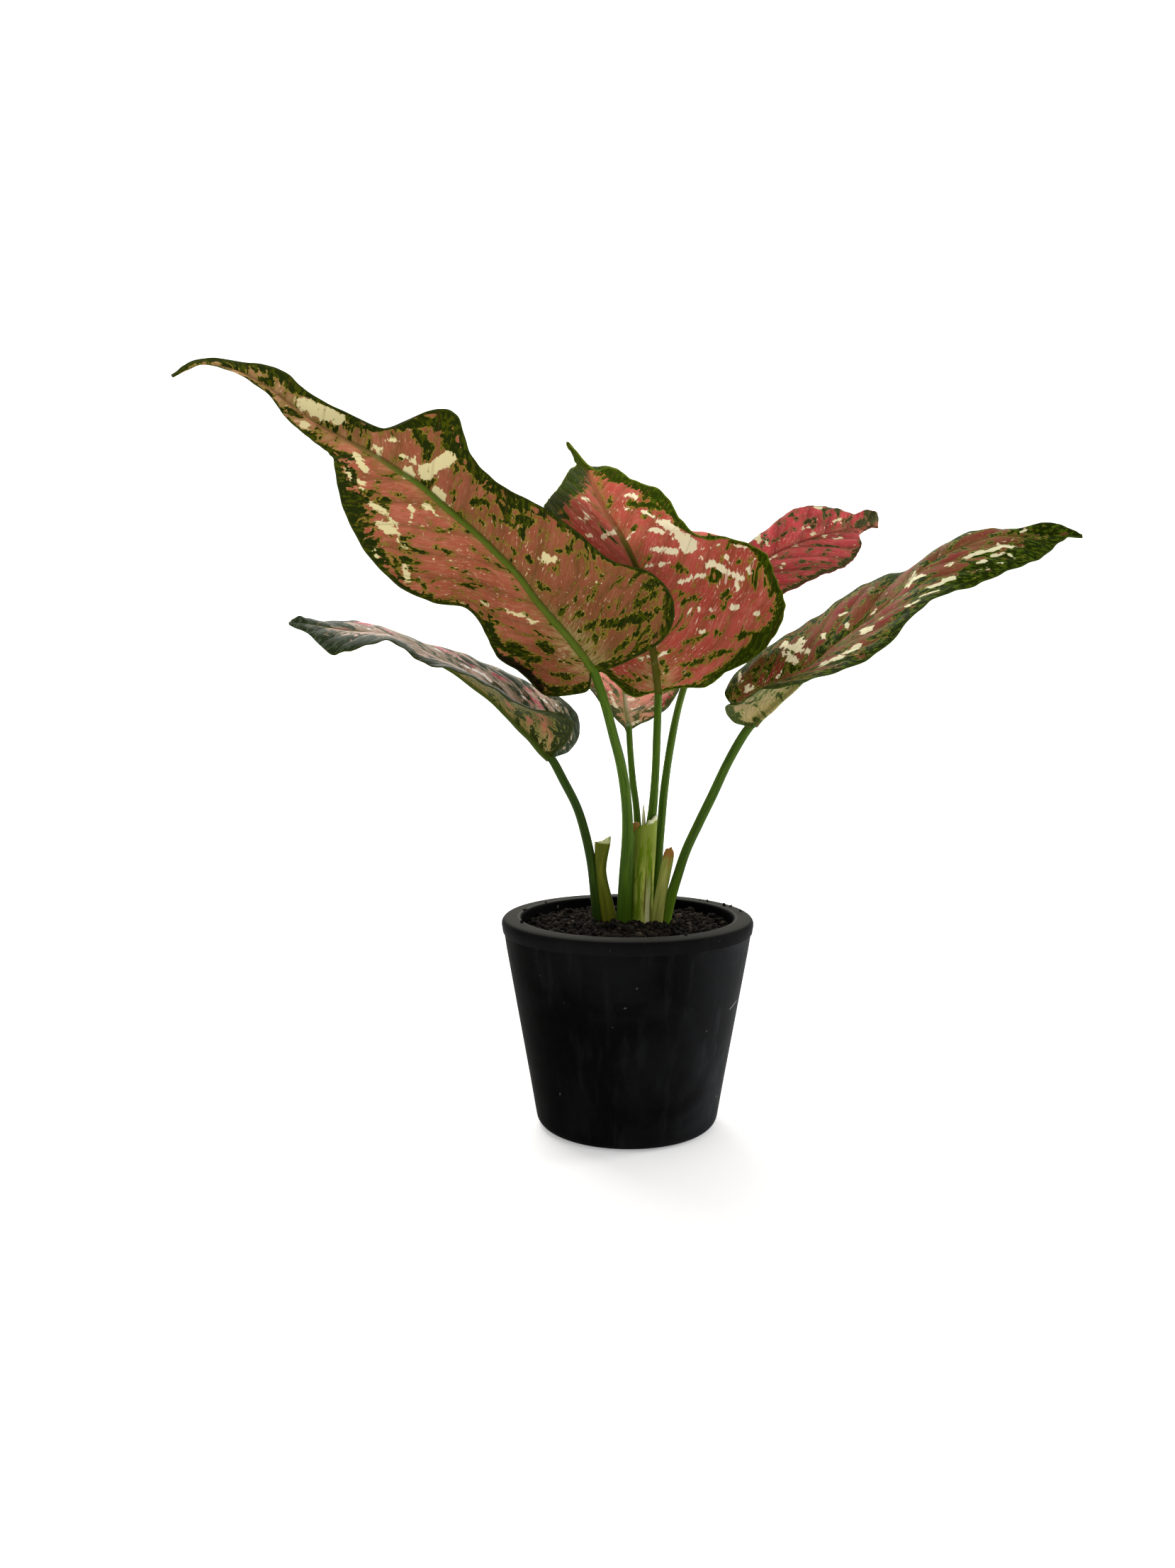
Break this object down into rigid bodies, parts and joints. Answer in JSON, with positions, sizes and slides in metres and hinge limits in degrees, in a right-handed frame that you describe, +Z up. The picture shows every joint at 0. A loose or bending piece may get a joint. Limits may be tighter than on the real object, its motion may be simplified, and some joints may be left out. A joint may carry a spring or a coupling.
{
  "type": "potted chinese evergreen",
  "caption": "Young aglaonema houseplant with large wavy pink and green leaves on upright green petioles, rooted in dark soil in a round black pot.",
  "frame": {"origin": "middle of the pot's flat floor, on the surface that it stands on", "axes": "+Z up, the front that the picture shows towards -Y, the widest leaves along X"},
  "size_m": [0.3298, 0.2054, 0.2904],
  "materials": {
    "pot": "satin black, fine scuffs",
    "soil": "damp coarse potting mix",
    "roots": "pale, fleshy",
    "old_sheath": "yellowing, matt, brown at the cut ends",
    "pale_sheath": "pale green with a cream streak",
    "petiole": "smooth green, slight gloss",
    "blade": "pink and crimson with green margins and cream flecks, soft gloss"
  },
  "bodies": {
    "root": {"pot": "pot", "soil": "soil", "stem_and_roots": "roots", "old_sheath_left": "old_sheath", "old_sheath_right": "old_sheath", "old_sheath_middle": "pale_sheath", "leaf_upper_left_petiole": "petiole", "leaf_upper_left_blade": "blade", "leaf_middle_petiole": "petiole", "leaf_middle_blade": "blade", "leaf_back_right_petiole": "petiole", "leaf_back_right_blade": "blade", "leaf_right_petiole": "petiole", "leaf_right_blade": "blade", "leaf_left_petiole": "petiole", "leaf_left_blade": "blade", "leaf_back_petiole": "petiole", "leaf_back_blade": "blade"}
  },
  "joints": []
}
